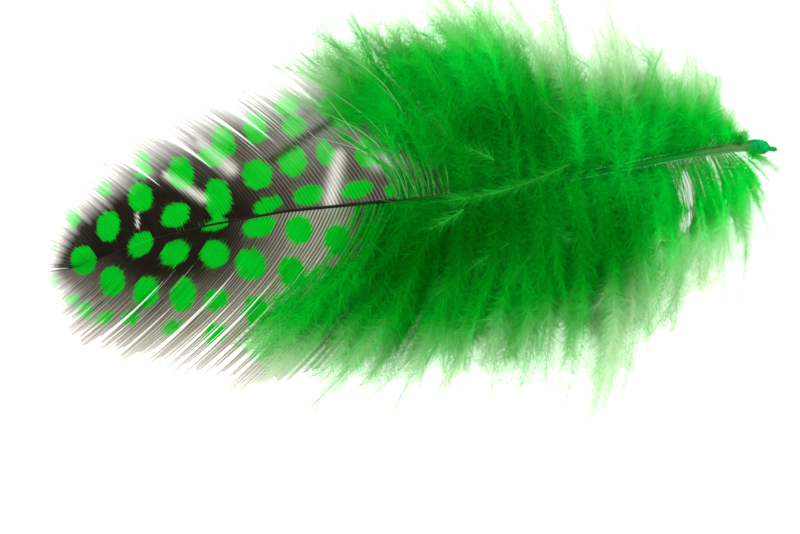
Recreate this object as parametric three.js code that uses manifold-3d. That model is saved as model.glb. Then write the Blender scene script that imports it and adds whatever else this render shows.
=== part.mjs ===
// A guinea fowl's spotted body feather, dyed green, lying on its concave side.
// Millimetres. X runs from the tip of the shaft to the quill end, Y across, Z up from the surface.
// The origin is on the surface, below the middle of the feather's outline.

import * as THREE from 'three';
import { mergeVertices } from 'three/addons/utils/BufferGeometryUtils.js';
import Module from 'manifold-3d';

// The tip of the shaft, from which every along and across below is measured
const TIP_X = -41.0;
const TIP_Y = 1.4;

// The shaft's middle line, from tip to quill end: along, across, height, radius
const SHAFT = [
  [0.0, 0.0, 0.6, 0.14],
  [4.0, 0.9, 1.6, 0.16],
  [10.0, 1.9, 3.0, 0.19],
  [17.0, 2.4, 4.3, 0.22],
  [26.0, 2.5, 5.5, 0.25],
  [36.0, 1.8, 6.3, 0.3],
  [46.0, 1.0, 6.4, 0.36],
  [56.0, 0.8, 5.8, 0.42],
  [66.0, 1.0, 4.4, 0.52],
  [75.0, 1.3, 2.6, 0.6],
  [81.6, 1.2, 1.1, 0.6],
  [82.7, 1.0, 0.94, 0.8],
  [83.6, 0.8, 0.86, 0.9],
  [84.4, 0.6, 0.8, 0.74],
  [84.8, 0.4, 0.7, 0.4],
  [85.6, 0.2, 0.6, 0.14],
];
const SHAFT_SIDES = 8;

// Barbs of the two sides: along where one leaves the shaft, then along and across where it ends
const LEFT_BARBS = [
  [0.0, -4.2, 0.4],
  [1.0, -3.4, 3.4],
  [3.5, -1.2, 7.6],
  [9.0, 2.8, 10.4],
  [16.0, 6.6, 13.4],
  [26.5, 13.9, 17.4],
  [32.5, 20.6, 18.4],
  [38.5, 26.0, 19.2],
  [41.0, 30.0, 22.6],
  [43.5, 34.0, 24.4],
  [47.0, 41.5, 23.0],
  [52.0, 49.5, 23.2],
  [60.0, 60.0, 21.6],
  [64.5, 66.0, 20.0],
  [69.5, 71.5, 17.0],
  [73.5, 76.5, 15.0],
  [77.0, 80.5, 11.6],
  [79.6, 81.2, 6.0],
  [81.0, 83.0, 3.6],
];
const RIGHT_BARBS = [
  [0.0, -4.2, 0.4],
  [1.0, -4.0, -1.0],
  [3.5, -3.2, -3.6],
  [11.0, -1.4, -7.4],
  [18.0, 2.6, -9.8],
  [25.0, 7.1, -12.2],
  [32.5, 12.9, -14.8],
  [40.0, 21.4, -17.4],
  [43.5, 30.0, -19.6],
  [47.0, 37.0, -21.4],
  [52.0, 45.6, -22.6],
  [59.0, 54.6, -26.2],
  [63.0, 59.4, -27.8],
  [67.5, 65.4, -21.6],
  [72.5, 71.2, -17.0],
  [76.5, 76.0, -16.2],
  [78.6, 80.0, -12.6],
  [79.6, 84.8, -9.2],
  [80.4, 86.6, -6.4],
  [81.0, 85.8, -3.0],
];

// The vane: bundles of hooked barbs, each a ridge of one sheet, from the tip to the first down
const VANE_END = 41.0;
const VANE_BUNDLES = 24;
const VANE_CROWDING = 1.15;
const VANE_THICK_AT_SHAFT = 0.4;
const VANE_THICK_AT_RIM = 0.24;
const VANE_RIDGE = 0.1;
const VANE_RIM_HEIGHT = 0.05;
const VANE_ARCH = 1.1;
const VANE_STEPS = 5;
const VANE_RAGGED = 0.05;
const VANE_OVERLAP = 0.12;
const FURROW_REACH = 0.84;

// Splits in the vane: bundle they open at, and how far out along the barb the split begins
const LEFT_SPLITS = [[8, 0.5], [12, 0.45], [19, 0.4]];
const RIGHT_SPLITS = [[6, 0.6], [14, 0.55], [20, 0.5]];

// The down: layers of soft locks, each with the share of the barb's length that its locks reach,
// the height half way out and at the end, and the widest half-width and thickness of a lock
const DOWN_START = 37.0;
const DOWN_END = 81.0;
const DOWN_LAYERS = [
  { locks: 13, reach: 1.0, middle: 1.7, end: 0.0, halfWidth: 2.3, halfThick: 0.55 },
  { locks: 12, reach: 0.94, middle: 5.4, end: 2.8, halfWidth: 2.2, halfThick: 0.6 },
  { locks: 11, reach: 0.84, middle: 8.4, end: 6.0, halfWidth: 2.1, halfThick: 0.6 },
];
const LOCK_STATIONS = [0, 0.16, 0.4, 0.66, 0.86, 1];
const LOCK_WIDTHS = [0.4, 0.74, 1.0, 0.96, 0.6, 0.06];
const LOCK_FULLNESS = 1.6;

// How unevenly the locks are spaced, and how far their ends and middles stray
const LOCK_SPACING_STRAY = 0.3;
const LOCK_RAGGED = 0.06;
const LOCK_STRAY = 1.6;
const LOCK_MIDDLE_STRAY = 0.5;
const LOCK_END_STRAY = 0.4;
const LOCK_LOWEST_END = 0.02;

// Near the quill end the locks shrink: where they would be nothing, over what length, how narrow
const SHRINK_END = 83.0;
const SHRINK_LENGTH = 12.0;
const NARROWEST_LOCK = 0.55;

// How far a barb's middle bows towards the quill, as a share of its length
const BOW = 0.09;

// The surface is a slab whose top is at height zero
const SURFACE_SIZE = 200;
const SURFACE_DEPTH = 20;

// Points nearer than this are one point, and bumps lower than this are smoothed away
const SAME_POINT = 1e-4;
const SMALLEST_BUMP = 0.03;

// Two turns that never line up, for unevenness that doesn't repeat
const GOLDEN_TURN = 0.61803;
const SILVER_TURN = 0.41421;

// A number from -1 to 1 that looks random and is the same every time
function uneven(index, salt) {
  const turn = index * GOLDEN_TURN + salt * SILVER_TURN;
  return (turn - Math.floor(turn)) * 2 - 1;
}

// The row of a table of numbers at a place between its rows, by straight lines
function rowAt(rows, place) {
  let next = rows.findIndex((row) => row[0] >= place);
  if (next === -1) next = rows.length - 1;
  if (next === 0) next = 1;
  const [before, after] = [rows[next - 1], rows[next]];
  const share = THREE.MathUtils.clamp((place - before[0]) / (after[0] - before[0]), 0, 1);
  return before.map((value, column) => THREE.MathUtils.lerp(value, after[column], share));
}

const shaftLine = new THREE.CatmullRomCurve3(
  SHAFT.map(([along, across, height]) => new THREE.Vector3(TIP_X + along, TIP_Y + across, height)),
  false,
  'centripetal',
);

// The point of the shaft's middle line at a distance along from its tip
function shaftPoint(along) {
  const [, across, height] = rowAt(SHAFT, along);
  return new THREE.Vector3(TIP_X + along, TIP_Y + across, height);
}

// A closed solid through rings of points, all with the same count, its ends filled by fans
function loft(rings) {
  const sides = rings[0].length;
  const positions = [];
  const triangles = [];
  for (const ring of rings) {
    for (const point of ring) positions.push(point.x, point.y, point.z);
  }
  for (let ring = 0; ring + 1 < rings.length; ring += 1) {
    for (let side = 0; side < sides; side += 1) {
      const a = ring * sides + side;
      const b = ring * sides + ((side + 1) % sides);
      triangles.push(a, b, b + sides, a, b + sides, a + sides);
    }
  }
  const last = (rings.length - 1) * sides;
  for (let side = 1; side + 1 < sides; side += 1) {
    triangles.push(0, side + 1, side);
    triangles.push(last, last + side, last + side + 1);
  }
  const geometry = new THREE.BufferGeometry();
  geometry.setAttribute('position', new THREE.Float32BufferAttribute(positions, 3));
  geometry.setIndex(triangles);
  return geometry;
}

// The shaft and quill: round, tapered, with a rounded nub at the quill end
function shaftGeometry() {
  const rings = SHAFT.map((row, index) => {
    const radius = row[3];
    const centre = shaftPoint(row[0]);
    const tangent = shaftLine.getTangent(index / (SHAFT.length - 1));
    const level = new THREE.Vector3(-tangent.y, tangent.x, 0).normalize();
    const upright = new THREE.Vector3().crossVectors(tangent, level);
    return Array.from({ length: SHAFT_SIDES }, (_, side) => {
      const angle = (side / SHAFT_SIDES) * Math.PI * 2;
      return centre
        .clone()
        .addScaledVector(level, radius * Math.cos(angle))
        .addScaledVector(upright, radius * Math.sin(angle));
    });
  });
  return loft(rings);
}

// A barb's line: out from the shaft at one side, bowed, through a middle height to an end height
function barbLine(barbs, along, reach, middleHeight, endHeight, stray = 0) {
  const root = shaftPoint(along);
  const [, endAlong, endAcross] = rowAt(barbs, along);
  const end = new THREE.Vector3(TIP_X + endAlong + stray, TIP_Y + endAcross, endHeight);
  end.lerpVectors(root, end, reach).setZ(endHeight);
  const middle = root.clone().lerp(end, 0.5);
  middle.x += root.distanceTo(end) * BOW - stray * 0.5;
  middle.z = middleHeight;
  const pull = middle.multiplyScalar(2).addScaledVector(root, -0.5).addScaledVector(end, -0.5);
  return new THREE.QuadraticBezierCurve3(root, pull, end);
}

// One side of the vane: a sheet whose rows are barb bundles, ridged, with a toothed and split rim
function vaneGeometry(barbs, splits) {
  const rows = VANE_BUNDLES * 2 + 1;
  const inward = barbs === LEFT_BARBS ? -1 : 1;
  const top = [];
  const bottom = [];
  for (let row = 0; row < rows; row += 1) {
    const isFurrow = row % 2 === 1;
    const along = (row / (rows - 1)) ** VANE_CROWDING * VANE_END;
    const split = splits.find(([bundle]) => bundle * 2 + 1 === row);
    const furrowReach = split ? split[1] : FURROW_REACH;
    const reach = isFurrow ? furrowReach : 1 - VANE_RAGGED * (1 + uneven(row, 1));
    const root = shaftPoint(along);
    const full = barbLine(barbs, along, 1, root.z / 2 + VANE_ARCH, VANE_RIM_HEIGHT);
    for (let step = 0; step < VANE_STEPS; step += 1) {
      const share = step / (VANE_STEPS - 1);
      const point = full.getPoint(share * reach);
      if (step === 0) point.y += inward * VANE_OVERLAP;
      const lift = (isFurrow ? -VANE_RIDGE : VANE_RIDGE) * Math.sin(Math.PI * share);
      const thick = THREE.MathUtils.lerp(VANE_THICK_AT_SHAFT, VANE_THICK_AT_RIM, share);
      top.push(new THREE.Vector3(point.x, point.y, point.z + lift + thick / 2));
      bottom.push(new THREE.Vector3(point.x, point.y, point.z + lift - thick / 2));
    }
  }
  return sheet(top, bottom, rows, VANE_STEPS, inward > 0);
}

// A closed sheet between a top and a bottom grid of points
function sheet(top, bottom, rows, columns, turned) {
  const positions = [...top, ...bottom].flatMap((point) => point.toArray());
  const under = rows * columns;
  const triangles = [];
  const quad = (a, b, c, d) => {
    if (turned) triangles.push(a, c, b, a, d, c);
    else triangles.push(a, b, c, a, c, d);
  };
  for (let row = 0; row + 1 < rows; row += 1) {
    for (let column = 0; column + 1 < columns; column += 1) {
      const a = row * columns + column;
      const b = a + columns;
      quad(a, b, b + 1, a + 1);
      quad(under + a, under + a + 1, under + b + 1, under + b);
    }
    const near = row * columns;
    const far = near + columns - 1;
    quad(near, under + near, under + near + columns, near + columns);
    quad(far, far + columns, under + far + columns, under + far);
  }
  for (let column = 0; column + 1 < columns; column += 1) {
    const last = (rows - 1) * columns + column;
    quad(column, column + 1, under + column + 1, under + column);
    quad(last, under + last, under + last + 1, last + 1);
  }
  const geometry = new THREE.BufferGeometry();
  geometry.setAttribute('position', new THREE.Float32BufferAttribute(positions, 3));
  geometry.setIndex(triangles);
  return geometry;
}

// One lock of down: a soft tapered blade along a barb's line, thick in the middle, ending in a point
function lockGeometry(line, halfWidth, halfThick) {
  const rings = LOCK_STATIONS.map((share, index) => {
    const centre = line.getPoint(share);
    const tangent = line.getTangent(share);
    const level = new THREE.Vector3(-tangent.y, tangent.x, 0).normalize();
    const wide = halfWidth * LOCK_WIDTHS[index];
    const thick = halfThick * Math.min(1, LOCK_WIDTHS[index] * LOCK_FULLNESS);
    return [
      centre.clone().addScaledVector(level, wide),
      new THREE.Vector3(centre.x, centre.y, centre.z + thick),
      centre.clone().addScaledVector(level, -wide),
      new THREE.Vector3(centre.x, centre.y, centre.z - thick),
    ];
  });
  return loft(rings);
}

// The locks of one side, layer above layer, each leaving the shaft a little beside the last
function downGeometries(barbs, side) {
  return DOWN_LAYERS.flatMap((layer, level) =>
    Array.from({ length: layer.locks }, (_, index) => {
      const salt = level * 7 + side * 3;
      const share = (index + LOCK_SPACING_STRAY * uneven(index, salt)) / (layer.locks - 1);
      const along = THREE.MathUtils.lerp(DOWN_START, DOWN_END, THREE.MathUtils.clamp(share, 0, 1));
      const size = Math.min(1, (SHRINK_END - along) / SHRINK_LENGTH);
      const reach = layer.reach * (1 - LOCK_RAGGED * (1 + uneven(index, salt + 1)));
      const arch = layer.middle + LOCK_MIDDLE_STRAY * uneven(index, salt + 2);
      const middle = THREE.MathUtils.lerp(shaftPoint(along).z, arch, size);
      const end = layer.end * size + LOCK_END_STRAY * uneven(index, salt + 3);
      const stray = LOCK_STRAY * size * uneven(index, salt + 4);
      const line = barbLine(barbs, along, reach, middle, Math.max(end, LOCK_LOWEST_END), stray);
      const halfWidth = layer.halfWidth * THREE.MathUtils.lerp(NARROWEST_LOCK, 1, size);
      return lockGeometry(line, halfWidth, layer.halfThick);
    }),
  );
}

// Solids are joined into one body and cut flat where they touch the surface
const wasm = await Module();
wasm.setup();

// A closed solid that can be joined and cut, from the triangles of a geometry
function solid(geometry) {
  const bare = geometry.clone();
  bare.deleteAttribute('normal');
  bare.deleteAttribute('uv');
  const merged = mergeVertices(bare, SAME_POINT);
  const mesh = new wasm.Mesh({
    numProp: 3,
    vertProperties: new Float32Array(merged.attributes.position.array),
    triVerts: new Uint32Array(merged.index.array),
  });
  return new wasm.Manifold(mesh);
}

const grown = [
  shaftGeometry(),
  vaneGeometry(LEFT_BARBS, LEFT_SPLITS),
  vaneGeometry(RIGHT_BARBS, RIGHT_SPLITS),
  ...downGeometries(LEFT_BARBS, 0),
  ...downGeometries(RIGHT_BARBS, 1),
]
  .map(solid)
  .reduce((whole, piece) => whole.add(piece));

// Crumbs that the cut leaves loose are dropped
const surface = new THREE.BoxGeometry(SURFACE_SIZE, SURFACE_SIZE, SURFACE_DEPTH);
surface.translate(0, 0, -SURFACE_DEPTH / 2);
const rested = grown
  .subtract(solid(surface))
  .simplify(SMALLEST_BUMP)
  .decompose()
  .reduce((largest, piece) => (piece.volume() > largest.volume() ? piece : largest));

const joined = rested.getMesh();
const featherGeometry = new THREE.BufferGeometry();
featherGeometry.setAttribute('position', new THREE.BufferAttribute(joined.vertProperties, 3));
featherGeometry.setIndex(new THREE.BufferAttribute(joined.triVerts, 1));

const dyedGreen = new THREE.MeshStandardMaterial({ color: 0x0a9a28, roughness: 0.85, metalness: 0 });
const feather = new THREE.Mesh(featherGeometry, dyedGreen);
feather.name = 'feather';

const group = new THREE.Group();
group.add(feather);

export default group;
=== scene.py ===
# A guinea fowl's spotted body feather, dyed green, lying on a pale surface.
# Sizes are in millimetres and become metres in MM. Along runs from the shaft's tip to the quill,
# across from the shaft's tip to the left, and heights are from the surface.
# A stray given as a pair is the least and the most share of the usual size.

import math
from types import SimpleNamespace

import bpy
import numpy as np
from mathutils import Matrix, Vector


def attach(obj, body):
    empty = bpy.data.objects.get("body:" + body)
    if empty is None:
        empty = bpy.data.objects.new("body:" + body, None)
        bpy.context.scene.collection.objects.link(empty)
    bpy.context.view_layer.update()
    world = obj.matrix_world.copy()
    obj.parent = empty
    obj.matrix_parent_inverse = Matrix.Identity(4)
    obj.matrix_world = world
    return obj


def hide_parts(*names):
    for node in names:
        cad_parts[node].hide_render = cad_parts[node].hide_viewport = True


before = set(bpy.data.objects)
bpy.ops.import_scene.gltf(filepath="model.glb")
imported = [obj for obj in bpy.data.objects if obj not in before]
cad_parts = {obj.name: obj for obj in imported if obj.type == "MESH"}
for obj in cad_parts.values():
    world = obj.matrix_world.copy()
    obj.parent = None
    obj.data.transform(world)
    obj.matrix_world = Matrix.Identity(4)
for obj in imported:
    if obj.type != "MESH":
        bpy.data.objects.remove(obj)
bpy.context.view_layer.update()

MM = 0.001
UP = [0.0, 0.0, 1.0]

# Lengths under this count as none
TINY = 1e-9

# Nothing reaches lower than this above the surface
FLOOR_GAP = 0.01

# Two turns that never line up, for unevenness that doesn't repeat
GOLDEN_TURN = 0.61803
ROOT_TWO_TURN = 0.41421

# The tip of the shaft, from which every along and across below is measured
TIP_X = -41.0
TIP_Y = 1.4

# The shaft's middle line, from tip to quill end: along, across, height, radius
SHAFT = np.array([
    [0.0, 0.0, 0.6, 0.08],
    [4.0, 0.9, 1.6, 0.1],
    [10.0, 1.9, 3.0, 0.12],
    [17.0, 2.4, 4.3, 0.14],
    [26.0, 2.5, 5.5, 0.16],
    [36.0, 1.8, 6.3, 0.2],
    [46.0, 1.0, 6.4, 0.28],
    [56.0, 0.8, 5.8, 0.38],
    [66.0, 1.0, 4.4, 0.5],
    [75.0, 1.3, 2.6, 0.6],
    [80.0, 1.3, 1.3, 0.6],
    [82.2, 1.1, 1.0, 0.64],
    [82.9, 1.0, 0.98, 0.84],
    [83.7, 0.8, 0.94, 0.9],
    [84.4, 0.5, 0.88, 0.78],
    [84.8, 0.35, 0.7, 0.26],
    [85.1, 0.25, 0.68, 0.34],
    [85.4, 0.15, 0.66, 0.34],
    [85.7, 0.1, 0.6, 0.1],
])
SHAFT_STEPS = 300
SHAFT_SIDES = 16
SHAFT_SMOOTHINGS = 6
SHAFT_THINNEST = 0.02

# Where along the shaft it turns from black to green, to horn and to the nub, and loses its spots
BLACK_TO_GREEN = (38.0, 54.0)
GREEN_TO_HORN = (74.5, 79.0)
HORN_TO_NUB = (81.4, 82.8)
SHAFT_SPOTS_END = (13.0, 15.0)

# Pale ridges of the bare quill: along from and to, and how far out and up on the quill's radius
RIB_START = 58.0
RIB_END = 82.4
RIB_STEPS = 60
RIB_SIDES = 6
RIB_RADIUS = 0.13
RIB_THINNEST = 0.01
RIB_OUT = 0.8
RIB_UP = 0.55

# Barbs of the two sides: along where one leaves the shaft, then along and across where it ends
LEFT_BARBS = np.array([
    [0.0, -4.2, 0.4],
    [1.0, -3.4, 3.4],
    [3.5, -1.2, 7.6],
    [9.0, 2.8, 10.4],
    [16.0, 6.6, 13.4],
    [26.5, 13.9, 17.4],
    [32.5, 20.6, 18.4],
    [38.5, 26.0, 19.2],
    [41.0, 30.0, 22.6],
    [43.5, 34.0, 24.4],
    [47.0, 41.5, 23.0],
    [52.0, 49.5, 23.2],
    [60.0, 60.0, 21.6],
    [64.5, 66.0, 20.0],
    [69.5, 71.5, 17.0],
    [73.5, 76.5, 15.0],
    [77.0, 80.5, 11.6],
    [79.6, 81.2, 6.0],
    [81.0, 83.0, 3.6],
])
RIGHT_BARBS = np.array([
    [0.0, -4.2, 0.4],
    [1.0, -4.0, -1.0],
    [3.5, -3.2, -3.6],
    [11.0, -1.4, -7.4],
    [18.0, 2.6, -9.8],
    [25.0, 7.1, -12.2],
    [32.5, 12.9, -14.8],
    [40.0, 21.4, -17.4],
    [43.5, 30.0, -19.6],
    [47.0, 37.0, -21.4],
    [52.0, 45.6, -22.6],
    [59.0, 54.6, -26.2],
    [63.0, 59.4, -27.8],
    [67.5, 65.4, -21.6],
    [72.5, 71.2, -17.0],
    [76.5, 76.0, -16.2],
    [78.6, 80.0, -12.6],
    [79.6, 84.8, -9.2],
    [80.4, 86.6, -6.4],
    [81.0, 85.8, -3.0],
])

# How far a barb's middle bows towards the quill, as a share of its length, and how far it is
# drawn back by the stray of its end
BOW = 0.09
STRAY_DRAW = 0.5

# Barbs taper to this much less than their radius at the root
BARB_TAPER = 0.8
BARB_SIDES = 3

# The vane's barbs, closer together towards the tip, and shorter where the down takes over
VANE_END = 46.0
VANE_BARBS = 116
VANE_CROWDING = 1.2
VANE_SHORTENING = (38.5, 46.0, 0.45)
VANE_ARCH = 1.1
VANE_RIM_HEIGHT = 0.06
VANE_BARB_RADIUS = 0.07

# A barb's tube has a ring at every so many points of its web
VANE_BARB_STRIDE = 6

# How far the vane's barbs reach at most, and how unevenly they end, arch and lie
VANE_REACH = 1.12
VANE_REACH_STRAY = 0.16
VANE_ARCH_STRAY = 0.03
VANE_RIM_STRAY = 0.3
VANE_BARB_STRAY = 0.12

# The web between the barbs: points along it, share of the way to the next barb, widest, rise
WEB_STEPS = 91
WEB_SPAN = 0.55
WEB_REACH = 0.5
WEB_RISE = 0.03

# How light the web may be at the barb, at the web's edge and on the hooks
WEB_SHADES = [0.2, 1.0]
HOOK_SHADE = 0.7

# The hooked barbules of the vane, shorter in the rim, each leaning along its barb
HOOK_SPACING = 0.13
HOOK_LENGTH = 0.3
HOOK_RIM_SHORTENING = 0.5
HOOK_LENGTH_STRAY = (0.8, 1.1)
HOOK_WIDTH = 0.06
HOOK_LEAN = 0.8
HOOK_BEND = 0.1
HOOK_TILT = 0.2
HOOK_FIRST_STEP = 2

# Where along a barb the vane's rim starts to fade: along at the shaft, share of the barb
LEFT_RIM_FADE = np.array([[0.0, 0.5], [5.0, 0.5], [10.0, 0.54], [46.0, 0.58]])
RIGHT_RIM_FADE = np.array([[0.0, 0.52], [5.0, 0.64], [12.0, 0.74], [46.0, 0.78]])

# How much further out the rim is fully pale, and the web starts to open and is open
RIM_PALING = 0.32
RIM_OPENING = (0.16, 0.5)

# Splits of the vane: along where they start, how far they open, and from which share of the barbs
LEFT_SPLITS = [(9.5, 0.5, 0.35), (15.0, 0.8, 0.3), (22.0, 1.0, 0.25), (31.0, 0.7, 0.3)]
RIGHT_SPLITS = [(6.5, 0.12, 0.8), (18.0, 0.2, 0.75), (27.0, 0.2, 0.75)]
SPLIT_REACH = 2.0

# The near-black middle of the vane: along and across, half length and half width
DARK_MIDDLE = (12.0, 1.4)
DARK_HALF = (10.0, 6.0)

# The web between the barbs of each side: how light it gets, and where it starts to and is so
LEFT_LIGHT = (0.24, 0.9, 1.9)
RIGHT_LIGHT = (1.0, 0.55, 2.2)

# Streaks of the vane: along and across of both ends, half width. The dark one is painted shadow
# where a fold's edge lies
FOLD_SHADOW_STREAKS = [((25.3, 8.8), (33.6, 12.4), 0.55)]
PALE_STREAKS = [
    ((31.6, 2.8), (33.4, 8.0), 0.9),
    ((20.4, 8.6), (17.2, 12.4), 0.8),
    ((16.6, 5.6), (12.6, 9.2), 0.5),
    ((8.4, 5.2), (8.2, 3.6), 0.16),
    ((38.0, 6.6), (44.0, 6.0), 1.2),
]
STREAK_PALENESS = 0.75
# How dark the painted shadow along a fold's edge gets
FOLD_SHADOW_STRENGTH = 0.85

# The hazy, paler part of the left vane: along and across where it starts and where it is full
HAZE_ALONG = (21.0, 31.0)
HAZE_ACROSS = (5.0, 13.0)
HAZE_PALENESS = 0.26

# Over what length the green dye comes in where the vane turns to down
DYE_BLEND = 12.0

# How soft the edge of a spot is, and how far each barb shifts it
SPOT_EDGE = 0.06
SPOT_STRAY = 0.05

# Spots of the vane: middle along and across, half length, half width, turn in degrees
SPOTS = [
    (1.0, 0.8, 1.5, 1.7, 0),
    (4.7, 4.3, 1.4, 1.9, -20),
    (9.1, 7.1, 1.5, 1.8, 0),
    (4.1, -2.3, 1.5, 1.8, -10),
    (8.2, 1.5, 1.7, 1.3, 35),
    (12.9, 4.2, 1.7, 1.4, 20),
    (12.1, -0.2, 1.8, 1.4, 25),
    (14.4, 9.1, 1.5, 2.0, 10),
    (7.9, -4.3, 1.5, 1.9, -20),
    (12.2, -5.3, 1.5, 2.1, -20),
    (16.8, -1.1, 1.7, 1.6, 0),
    (18.3, 5.4, 1.6, 2.3, 0),
    (17.7, 2.3, 1.8, 0.6, 8),
    (18.0, 3.4, 0.7, 1.2, 0),
    (24.1, 13.0, 1.4, 1.9, 0),
    (20.1, 12.0, 1.4, 1.9, 10),
    (18.3, 10.4, 1.5, 1.1, -30),
    (23.5, 7.4, 1.8, 1.8, 0),
    (24.0, 3.5, 1.9, 0.9, 15),
    (22.7, 1.2, 2.0, 1.2, 5),
    (20.9, -3.1, 1.8, 1.9, 0),
    (27.8, 8.2, 1.7, 1.8, 15),
    (28.2, 15.0, 1.6, 1.1, 10),
    (28.7, 12.4, 1.5, 1.4, 0),
    (29.1, 3.9, 1.8, 1.2, 5),
    (27.3, 0.0, 1.6, 1.7, 0),
    (16.1, -6.6, 1.5, 1.2, 20),
    (25.6, -4.8, 1.6, 1.9, 0),
    (31.6, -1.9, 1.6, 1.8, 0),
    (30.5, -6.6, 1.6, 1.7, 0),
    (36.0, -3.2, 1.7, 1.8, 0),
    (34.9, 3.6, 2.0, 1.0, 5),
    (40.0, 2.9, 2.1, 0.9, 5),
    (31.9, 8.6, 1.1, 1.6, 0),
    (33.5, 13.8, 1.4, 1.5, 0),
    (15.2, -10.6, 1.5, 1.2, 30),
    (20.6, -8.6, 1.6, 1.8, -15),
    (20.4, -13.4, 1.4, 1.2, 25),
    (25.4, -11.6, 1.6, 1.7, -20),
    (30.6, -12.6, 1.5, 1.6, -20),
    (35.4, -9.0, 1.6, 1.8, -10),
    (36.9, 7.9, 1.5, 1.9, 0),
    (36.1, -2.2, 1.5, 1.6, 0),
    (40.8, 2.5, 1.8, 1.1, 0),
    (34.5, 12.6, 1.3, 1.5, 0),
    (10.0, 11.6, 0.9, 1.2, 0),
    (4.9, 8.8, 0.9, 0.9, 0),
    (10.0, 9.9, 1.2, 0.6, 15),
    (0.6, 6.2, 0.9, 1.4, 0),
    (-2.4, 3.1, 0.7, 0.9, 0),
    (-3.1, -1.1, 0.6, 0.9, 0),
    (-1.1, -3.7, 0.9, 0.6, 20),
    (0.2, -5.1, 0.9, 1.0, 0),
    (2.3, -6.4, 1.2, 0.6, 20),
    (5.4, -7.0, 1.1, 0.9, 0),
    (10.2, -9.0, 1.2, 0.9, 20),
]

# Down: the same layers of locks as the solids, each lock a bunch of barbs
DOWN_START = 37.0
DOWN_END = 81.0
DOWN_LAYERS = [
    {"name": "under", "locks": 13, "reach": 1.0, "middle": 1.7, "end": 0.0},
    {"name": "inner", "locks": 12, "reach": 0.94, "middle": 5.4, "end": 2.8},
    {"name": "outer", "locks": 11, "reach": 0.84, "middle": 8.4, "end": 6.0},
]
UNDER = 0
OUTER = 2
LOCK_SPACING_STRAY = 0.3
LOCK_STRAY = 1.6
LOCK_MIDDLE_STRAY = 0.5
LOCK_END_STRAY = 0.4
LOCK_LOWEST_END = 0.02

# Salts that keep the unevenness of layers, sides and parts of a lock apart
LAYER_SALT = 7
SIDE_SALT = 3
MIDDLE_SALT = 2
END_SALT = 3
STRAY_SALT = 4

# Near the quill end the locks shrink: where they would be nothing, and over what length
SHRINK_END = 83.0
SHRINK_LENGTH = 12.0

# The barbs of a lock, how far along the shaft they spread, and how far they stray from it
BARBS_PER_LOCK = 11
LOCK_SPREAD = 3.0
BARB_MIDDLE_STRAY = 0.7
BARB_END_STRAY = 0.9
BARB_STRAY = 1.5
BARB_LOWEST_END = 0.1

# A bowed barb is this many times as long as the straight way to its end
BOWED_LENGTH = 1.05

# Where along a barb the dense down thins out into the fringe: along at the shaft, share
LEFT_CORE = np.array([
    [37.0, 0.54], [42.0, 0.68], [46.0, 0.84], [53.0, 0.8], [60.0, 0.46], [81.0, 0.38],
])
RIGHT_CORE = np.array([
    [37.0, 0.76], [50.0, 0.7], [60.0, 0.56], [70.0, 0.44], [79.0, 0.5], [81.0, 0.34],
])

# How far the fringe goes, as a share of a barb: along at the shaft, share
LEFT_FRINGE = np.array([
    [37.0, 1.08], [44.0, 1.1], [52.0, 1.26], [60.0, 1.24], [76.0, 1.1], [81.0, 0.8],
])
RIGHT_FRINGE = np.array([[37.0, 1.16], [66.0, 1.16], [76.0, 1.3], [81.0, 1.35]])

# Most barbs end near the core and few at the end of the fringe: more so the higher this is
FRINGE_THINNING = 1.6

# Past this, beside the end of the quill, the right side lacks this share of its barbs
LAST_DENSE = 79.8
LEFT_OUT_PAST_IT = 0.5

# Barbs of the outer layer that cross the shaft: along from and to, how many, how far over they
# start, and how much they rise for each millimetre of that, up to one
CROSSING_START = 47.0
CROSSING_END = 68.0
CROSSING_SHARE = 0.3
CROSSING_REACH = 2.6
CROSSING_RISE = 0.7

# Down hides the shaft up to here, and leaves it bare beyond, where it springs below the middle
COVERED_TO = 57.0
COVER_BLEND = 5.0
UNDER_DROP = 0.45

# Barbs of the down with short hairs at the root: side, along from and to, share of the barb
LEFT = 0
RIGHT = 1
SHORT_ROOTS = [
    (LEFT, 30.0, 41.0, 0.68),
    (LEFT, 41.0, 44.0, 0.5),
    (LEFT, 44.0, 46.0, 0.25),
    (RIGHT, 30.0, 37.0, 0.6),
    (RIGHT, 37.0, 40.0, 0.4),
]

# Barbs of the right side that are nearly bare at the root, in the same numbers
BARE_ROOTS = [
    (RIGHT, 71.5, 77.5, 0.55),
    (RIGHT, 77.5, 81.0, 0.35),
]
ROOT_SHARE_STRAY = (0.75, 1.1)
UNDER_BARENESS = 0.65

# How long the hairs of such roots are, and over what share of them the barb itself is how pale
SHORT_ROOT_HAIRS = 0.15
BARE_ROOT_HAIRS = 0.3
PALE_ROOT_SHARE = 0.8
PALE_ROOT = 0.5

# Lens-shaped openings of the down: middle along and across, half length, half width, turn
GAPS = [
    (73.9, -3.1, 1.05, 3.1, -3),
    (73.1, -6.9, 0.85, 2.4, -38),
    (69.2, -8.9, 0.4, 0.9, -35),
]
GAP_THINNING = 1.8
GAP_PALING = (0.1, 0.4)

# Stout pale barbs that lie over the foremost tuft of the left side: along from and to
STOUT_START = 38.0
STOUT_END = 48.5
STOUT_SHARE = 0.4
STOUT_THICKNESS = 2.0
STOUT_PALING = (0.3, 0.6)
STOUT_PALENESS = 0.7
STOUT_HAIRED = 0.5

# A loose barb, which sways sideways and up and down in waves and curls at its end
DOWN_BARB_RADIUS = 0.05
DOWN_BARB_POINTS = 10
SWAY = 0.45
SWAY_FULL_LENGTH = 15.0
SIDE_WAVE = 3.0
UPRIGHT_WAVE = 3.6
CURL = 1.3

# How much each loose barb differs in tone, and how much darker it is than its hairs
BARB_CONTRAST = 0.16
BARB_DARKNESS = 0.3

# How pale the fringe of the down is painted, as light shining through thin down, and how much of
# that each barb may have
FRINGE_PAINTED_LIGHT = 0.95
BARB_PAINTED_LIGHT_SHARES = (0.25, 0.7, 1.0, 1.0)
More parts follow.
